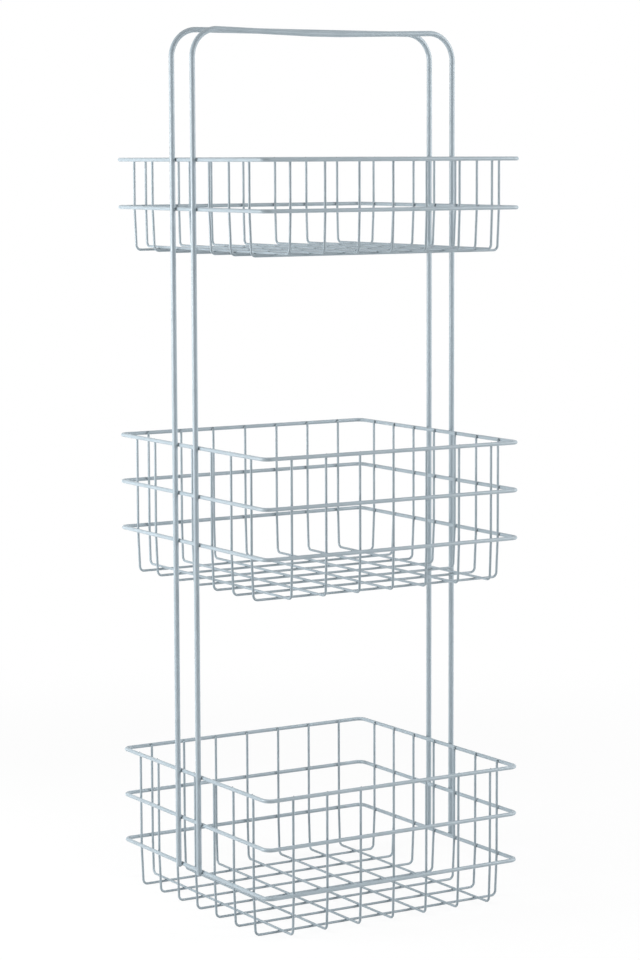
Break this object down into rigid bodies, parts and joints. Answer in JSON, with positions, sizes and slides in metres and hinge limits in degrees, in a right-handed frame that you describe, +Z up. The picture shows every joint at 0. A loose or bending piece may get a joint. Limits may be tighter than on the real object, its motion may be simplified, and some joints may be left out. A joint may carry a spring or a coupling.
{
  "type": "wire shelf rack",
  "caption": "Free-standing rack of stacked open wire baskets, welded between bent rod uprights that join overhead as a carrying handle.",
  "frame": {"origin": "on the ground under the middle of the rack's footprint", "axes": "+Z up; +X along the rack's width, from one pair of uprights to the other; +Y from front to rear"},
  "size_m": [0.315, 0.304, 0.8988],
  "materials": {
    "frame_rod_coat": "satin powder coat, pale blue grey, on steel wire",
    "ring_coat": "satin powder coat, pale blue grey, on steel wire",
    "wire_coat": "satin powder coat, pale blue grey, on steel wire"
  },
  "bodies": {
    "root": {"front_frame_rod": "frame_rod_coat", "rear_frame_rod": "frame_rod_coat", "bottom_basket_ring_1": "ring_coat", "bottom_basket_ring_2": "ring_coat", "bottom_basket_ring_3": "ring_coat", "middle_basket_ring_1": "ring_coat", "middle_basket_ring_2": "ring_coat", "middle_basket_ring_3": "ring_coat", "top_basket_ring_1": "ring_coat", "top_basket_ring_2": "ring_coat", "bottom_basket_width_wire_1": "wire_coat", "bottom_basket_width_wire_2": "wire_coat", "bottom_basket_width_wire_3": "wire_coat", "bottom_basket_width_wire_4": "wire_coat", "bottom_basket_width_wire_5": "wire_coat", "bottom_basket_width_wire_6": "wire_coat", "bottom_basket_width_wire_7": "wire_coat", "middle_basket_width_wire_1": "wire_coat", "middle_basket_width_wire_2": "wire_coat", "middle_basket_width_wire_3": "wire_coat", "middle_basket_width_wire_4": "wire_coat", "middle_basket_width_wire_5": "wire_coat", "middle_basket_width_wire_6": "wire_coat", "middle_basket_width_wire_7": "wire_coat", "top_basket_width_wire_1": "wire_coat", "top_basket_width_wire_2": "wire_coat", "top_basket_width_wire_3": "wire_coat", "top_basket_width_wire_4": "wire_coat", "top_basket_width_wire_5": "wire_coat", "top_basket_width_wire_6": "wire_coat", "top_basket_width_wire_7": "wire_coat", "bottom_basket_depth_wire_1": "wire_coat", "bottom_basket_depth_wire_2": "wire_coat", "bottom_basket_depth_wire_3": "wire_coat", "bottom_basket_depth_wire_4": "wire_coat", "bottom_basket_depth_wire_5": "wire_coat", "bottom_basket_depth_wire_6": "wire_coat", "bottom_basket_depth_wire_7": "wire_coat", "middle_basket_depth_wire_1": "wire_coat", "middle_basket_depth_wire_2": "wire_coat", "middle_basket_depth_wire_3": "wire_coat", "middle_basket_depth_wire_4": "wire_coat", "middle_basket_depth_wire_5": "wire_coat", "middle_basket_depth_wire_6": "wire_coat", "middle_basket_depth_wire_7": "wire_coat", "top_basket_depth_wire_1": "wire_coat", "top_basket_depth_wire_2": "wire_coat", "top_basket_depth_wire_3": "wire_coat", "top_basket_depth_wire_4": "wire_coat", "top_basket_depth_wire_5": "wire_coat", "top_basket_depth_wire_6": "wire_coat", "top_basket_depth_wire_7": "wire_coat"}
  },
  "joints": []
}
